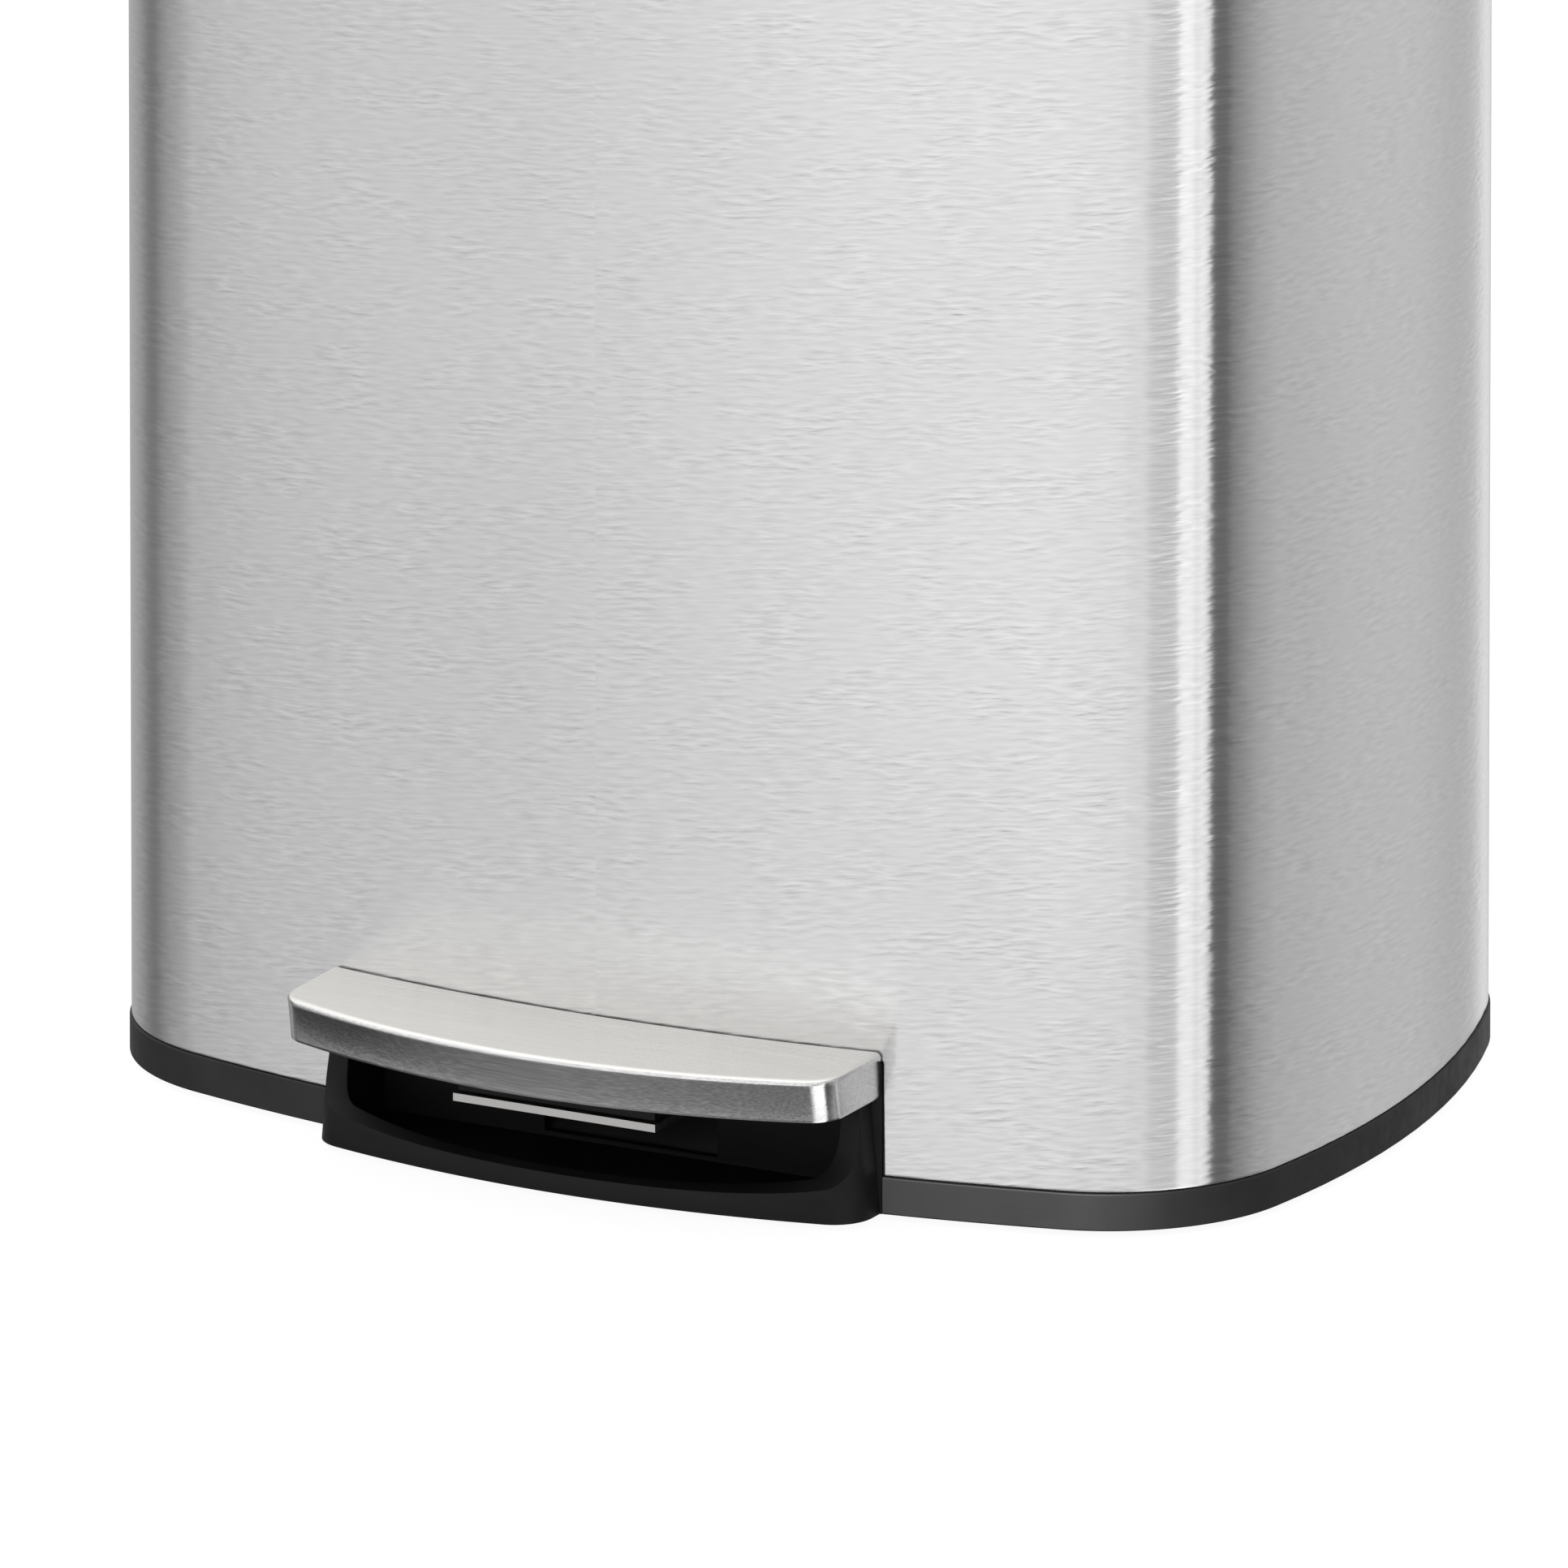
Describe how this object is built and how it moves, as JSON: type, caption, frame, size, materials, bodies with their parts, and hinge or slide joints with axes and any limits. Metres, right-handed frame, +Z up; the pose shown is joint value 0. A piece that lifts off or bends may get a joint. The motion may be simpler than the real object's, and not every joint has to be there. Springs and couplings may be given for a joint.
{
  "type": "pedal trash can",
  "caption": "Bow-fronted stainless steel step can with a wide foot pedal, lift rod, hinged soft-closing lid and a removable inner bucket.",
  "frame": {"origin": "on the floor under the middle of the whole can, pedal included", "axes": "+Z up, -Y out of the front where the pedal is, +X to the right of someone facing the front"},
  "size_m": [0.4, 0.3444, 0.65],
  "materials": {
    "brushed_steel": "brushed along the perimeter, satin",
    "black_plastic": "fine moulded satin black",
    "grey_plastic": "moulded dark grey",
    "bucket_plastic": "moulded charcoal, matte",
    "zinc_plated_steel": "zinc plated, satin",
    "rubber": "matte black rubber"
  },
  "bodies": {
    "root": {"axle_block_left": "grey_plastic", "axle_block_right": "grey_plastic", "axle_clip_left": "zinc_plated_steel", "axle_clip_right": "zinc_plated_steel", "base_tray": "black_plastic", "block_screw_left": "zinc_plated_steel", "block_screw_right": "zinc_plated_steel", "body_shell": "brushed_steel", "damper_clip": "grey_plastic", "damper_cylinder": "zinc_plated_steel", "false_floor": "grey_plastic", "foot_front_left": "rubber", "foot_front_right": "rubber", "foot_rear_left": "rubber", "foot_rear_right": "rubber", "hinge_block": "black_plastic", "hinge_clip_left": "zinc_plated_steel", "hinge_clip_right": "zinc_plated_steel", "hinge_cover": "black_plastic", "hinge_pin": "zinc_plated_steel", "hinge_screw_left": "zinc_plated_steel", "hinge_screw_right": "zinc_plated_steel", "housing_screw_left": "zinc_plated_steel", "housing_screw_right": "zinc_plated_steel", "inner_bucket": "bucket_plastic", "pedal_axle": "zinc_plated_steel", "pedal_housing": "black_plastic", "return_spring": "zinc_plated_steel", "rod_guide_lower": "grey_plastic", "rod_guide_upper": "grey_plastic", "top_collar": "black_plastic"},
    "lid": {"lid_skin": "brushed_steel", "lid_liner": "black_plastic", "lid_bracket": "zinc_plated_steel", "bracket_screw_left": "zinc_plated_steel", "bracket_screw_right": "zinc_plated_steel", "lid_bumper_left": "rubber", "lid_bumper_right": "rubber"},
    "pedal": {"pedal_cap": "brushed_steel", "pedal_core": "black_plastic", "pedal_lever": "zinc_plated_steel", "pedal_screw_left": "zinc_plated_steel", "pedal_screw_right": "zinc_plated_steel"},
    "lift_rod": {"lift_rod": "zinc_plated_steel", "rod_foot": "black_plastic", "spring_collar": "black_plastic", "damper_arm": "black_plastic", "damper_piston": "zinc_plated_steel"}
  },
  "joints": [
    {"name": "lid_hinge", "type": "hinge", "parent": "root", "child": "lid", "pos_m": [0, 0.15083, 0.626], "axis": [-1, 0, 0], "range_deg": [0, 80]},
    {"name": "pedal_pivot", "type": "hinge", "parent": "root", "child": "pedal", "pos_m": [0, -0.03717, 0.02], "axis": [1, 0, 0], "range_deg": [0, 8.6]},
    {"name": "lift_rod_slide", "type": "slide", "parent": "root", "child": "lift_rod", "axis": [0, 0, 1], "range_m": [0, 0.026], "stiffness_N_per_m": 150, "springref_m": -0.03, "deforming": ["return_spring"]}
  ],
  "couplings": [
    {"joint": "pedal_pivot", "follows": "lid_hinge", "ratio": 0.1075},
    {"joint": "lift_rod_slide", "follows": "lid_hinge", "m_per_rad": 0.018621}
  ]
}
